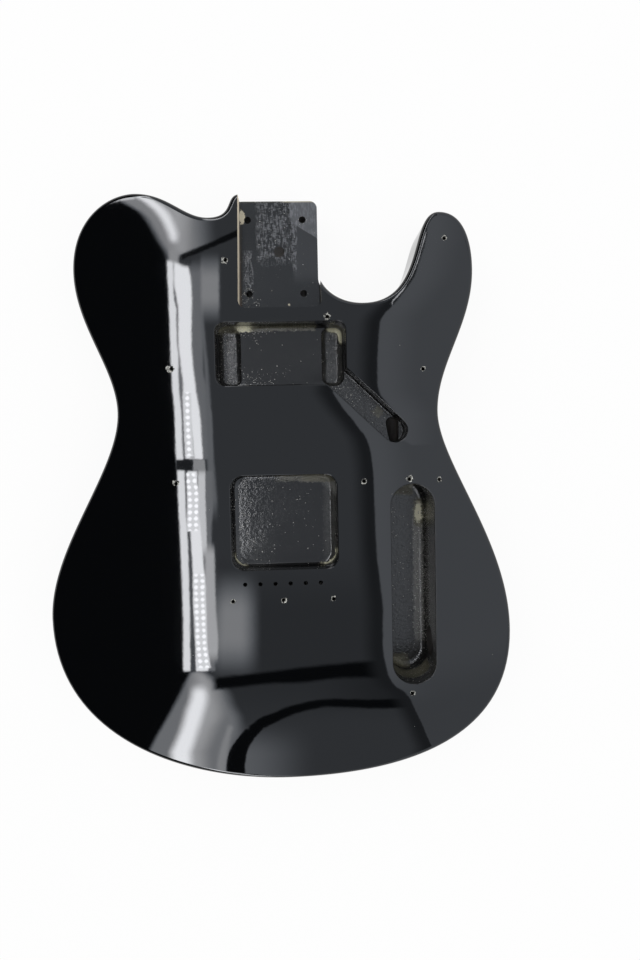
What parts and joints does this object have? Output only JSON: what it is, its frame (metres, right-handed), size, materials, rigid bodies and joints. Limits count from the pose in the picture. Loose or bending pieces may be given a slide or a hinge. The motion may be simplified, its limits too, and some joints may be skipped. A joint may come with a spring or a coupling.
{
  "type": "electric guitar body",
  "caption": "Bare single-cutaway electric guitar body in gloss black, with a neck pocket, pickup and control cavities, string-through holes and ferrules in its back.",
  "frame": {"origin": "on the back face, under the middle of the body's bounding box", "axes": "+Z out of the front face, +Y along the strings towards the neck, +X towards the treble side"},
  "size_m": [0.32, 0.406, 0.0445],
  "materials": {
    "lacquered_wood": "gloss black lacquer",
    "plated_ferrule": "nickel plated"
  },
  "bodies": {
    "root": {"bass_side_plank": "lacquered_wood", "bass_centre_plank": "lacquered_wood", "treble_centre_plank": "lacquered_wood", "treble_side_plank": "lacquered_wood", "string_ferrule_1": "plated_ferrule", "string_ferrule_2": "plated_ferrule", "string_ferrule_3": "plated_ferrule", "string_ferrule_4": "plated_ferrule", "string_ferrule_5": "plated_ferrule", "string_ferrule_6": "plated_ferrule"}
  },
  "joints": []
}
